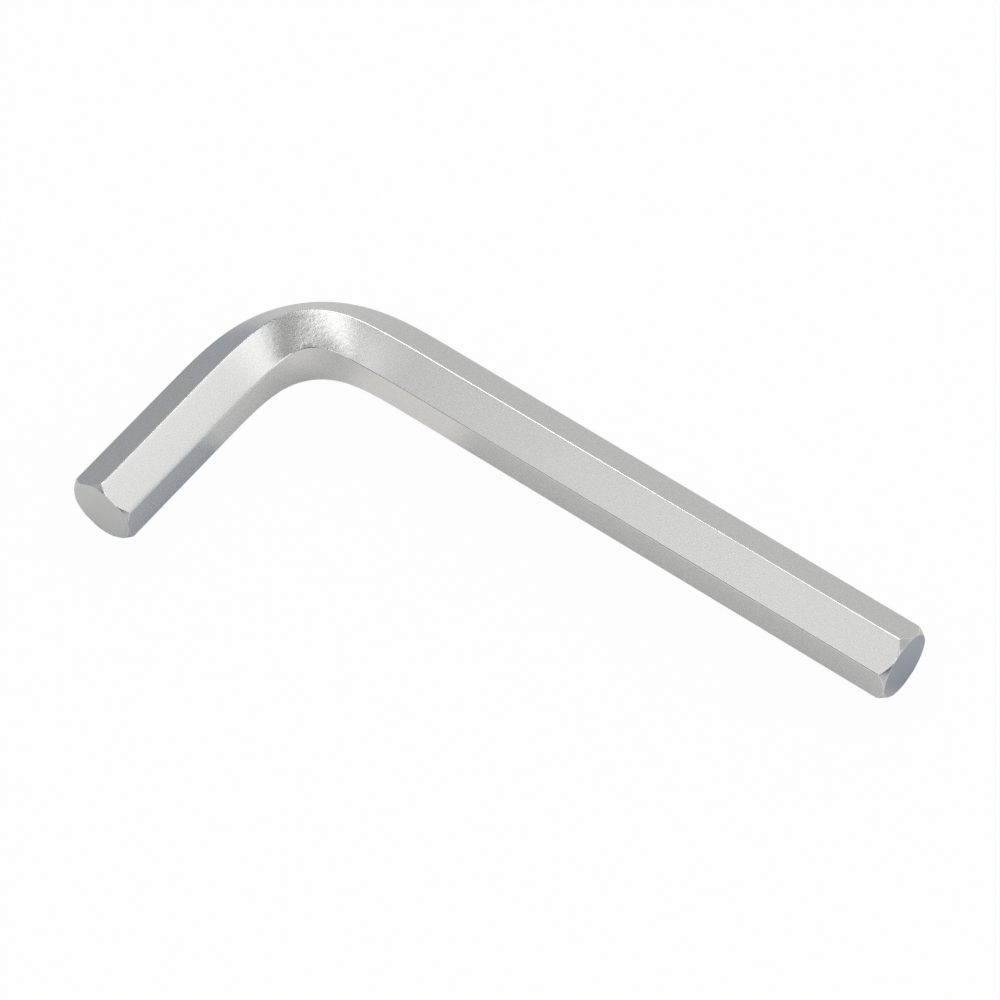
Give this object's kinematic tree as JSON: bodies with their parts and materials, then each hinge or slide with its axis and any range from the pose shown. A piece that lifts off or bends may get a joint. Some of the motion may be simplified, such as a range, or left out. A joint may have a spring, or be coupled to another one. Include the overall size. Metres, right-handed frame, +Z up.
{
  "type": "hex key",
  "caption": "L-shaped hex key bent from hexagonal steel bar, with a long arm, a short arm and turned, chamfered tips.",
  "frame": {"origin": "centre of the key's overall length and breadth, on the bench under the bar's lowest corner", "axes": "+X along the long arm towards its tip, -Y along the short arm towards its tip, +Z up from the bench"},
  "size_m": [0.154, 0.07, 0.016],
  "materials": {
    "plated_steel": "satin nickel plate with a fine grain"
  },
  "bodies": {
    "root": {"hex_key": "plated_steel"}
  },
  "joints": []
}
